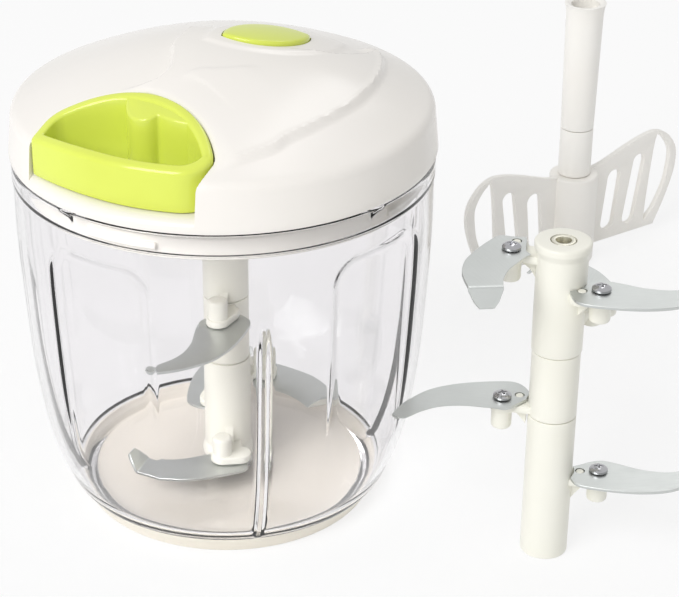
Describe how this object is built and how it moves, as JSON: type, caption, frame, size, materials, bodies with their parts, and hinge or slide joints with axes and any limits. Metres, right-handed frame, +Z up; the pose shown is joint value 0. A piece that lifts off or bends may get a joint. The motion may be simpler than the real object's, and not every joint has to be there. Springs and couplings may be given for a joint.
{
  "type": "pull cord food chopper",
  "caption": "Manual food chopper: clear panelled bowl, domed lid with a pull handle and cord reel, a bladed cutter on a pivot pin, a spare cutter and a mixing paddle.",
  "frame": {"origin": "on the bowl's vertical axis, at the flat underside of the base pad", "axes": "+Z up along the bowl's axis, -Y towards the viewer of the picture, +X to the picture's right, where the spare cutter stands"},
  "size_m": [0.2451, 0.2488, 0.1516],
  "materials": {
    "clear_plastic": "clear moulded plastic, glossy",
    "pad_ivory": "ivory, soft satin",
    "silicone": "translucent pale grey",
    "lid_ivory": "ivory white, glossy",
    "lime_plastic": "lime green, glossy",
    "drive_plastic": "off-white, satin",
    "post_plastic": "warm ivory, satin",
    "paddle_plastic": "warm white, satin",
    "blade_steel": "satin stainless",
    "polished_steel": "polished",
    "spring_steel": "blued spring steel",
    "brass": "plain bearing brass",
    "cord": "white braided cord"
  },
  "bodies": {
    "bowl": {"bowl": "clear_plastic", "base_pad": "pad_ivory", "pivot_pin": "polished_steel"},
    "seal": {"lid_gasket": "silicone"},
    "lid": {"lid_cover": "lid_ivory", "lid_base": "lid_ivory", "lid_screw_1": "polished_steel", "lid_screw_2": "polished_steel", "lid_screw_3": "polished_steel", "lid_screw_4": "polished_steel", "lid_screw_5": "polished_steel", "lid_screw_6": "polished_steel", "cord_eyelet": "polished_steel", "drive_bush": "drive_plastic", "spring_housing": "drive_plastic", "housing_cap": "drive_plastic", "pull_cord": "cord", "button_spring": "spring_steel"},
    "handle": {"pull_handle": "lime_plastic", "cord_knot": "cord"},
    "reel": {"cord_reel": "drive_plastic", "cord_winding": "cord", "clock_spring": "spring_steel", "drive_shaft": "drive_plastic"},
    "button": {"lock_button": "lime_plastic"},
    "cutter": {"post_lower": "post_plastic", "post_middle": "post_plastic", "post_upper": "post_plastic", "post_bearing": "brass", "blade_1": "blade_steel", "blade_2": "blade_steel", "blade_3": "blade_steel", "blade_4": "blade_steel", "blade_5": "blade_steel", "blade_screw_1": "polished_steel", "blade_screw_2": "polished_steel", "blade_screw_3": "polished_steel", "blade_screw_4": "polished_steel", "blade_screw_5": "polished_steel"},
    "spare_cutter": {"spare_post_lower": "post_plastic", "spare_post_middle": "post_plastic", "spare_post_upper": "post_plastic", "spare_post_bearing": "brass", "spare_blade_1": "blade_steel", "spare_blade_2": "blade_steel", "spare_blade_3": "blade_steel", "spare_blade_4": "blade_steel", "spare_blade_5": "blade_steel", "spare_blade_screw_1": "polished_steel", "spare_blade_screw_2": "polished_steel", "spare_blade_screw_3": "polished_steel", "spare_blade_screw_4": "polished_steel", "spare_blade_screw_5": "polished_steel"},
    "paddle": {"paddle_hub": "paddle_plastic", "paddle_stem_lower": "paddle_plastic", "paddle_stem_upper": "paddle_plastic"}
  },
  "joints": [
    {"name": "lid_lift", "type": "slide", "parent": "bowl", "child": "seal", "axis": [0, 0, 1], "range_m": [0, 0.15]},
    {"name": "lid_twist", "type": "hinge", "parent": "seal", "child": "lid", "pos_m": [0, 0, 0.118], "axis": [0, 0, -1], "range_deg": [0, 20]},
    {"name": "handle_pull", "type": "slide", "parent": "lid", "child": "handle", "axis": [-0.5592, -0.829, 0], "range_m": [0, 0.3], "stiffness_N_per_m": 17, "springref_m": -0.24, "deforming": ["pull_cord"]},
    {"name": "reel_spin", "type": "hinge", "parent": "lid", "child": "reel", "pos_m": [0, 0, 0.126], "axis": [0, 0, -1], "range_deg": [0, 910], "deforming": ["clock_spring"]},
    {"name": "blade_spin", "type": "hinge", "parent": "bowl", "child": "cutter", "pos_m": [0, 0, 0.01], "axis": [0, 0, -1], "continuous": true},
    {"name": "button_press", "type": "slide", "parent": "lid", "child": "button", "axis": [0, 0, -1], "range_m": [0, 0.002], "stiffness_N_per_m": 400, "springref_m": -0.003, "deforming": ["button_spring"]},
    {"name": "spare_lift", "type": "slide", "parent": "bowl", "child": "spare_cutter", "axis": [0, 0, 1], "range_m": [0, 0.15]},
    {"name": "paddle_lift", "type": "slide", "parent": "bowl", "child": "paddle", "axis": [0, 0, 1], "range_m": [0, 0.15]}
  ],
  "couplings": [
    {"joint": "reel_spin", "follows": "handle_pull", "rad_per_m": 52.632},
    {"joint": "blade_spin", "follows": "handle_pull", "rad_per_m": 52.632}
  ]
}
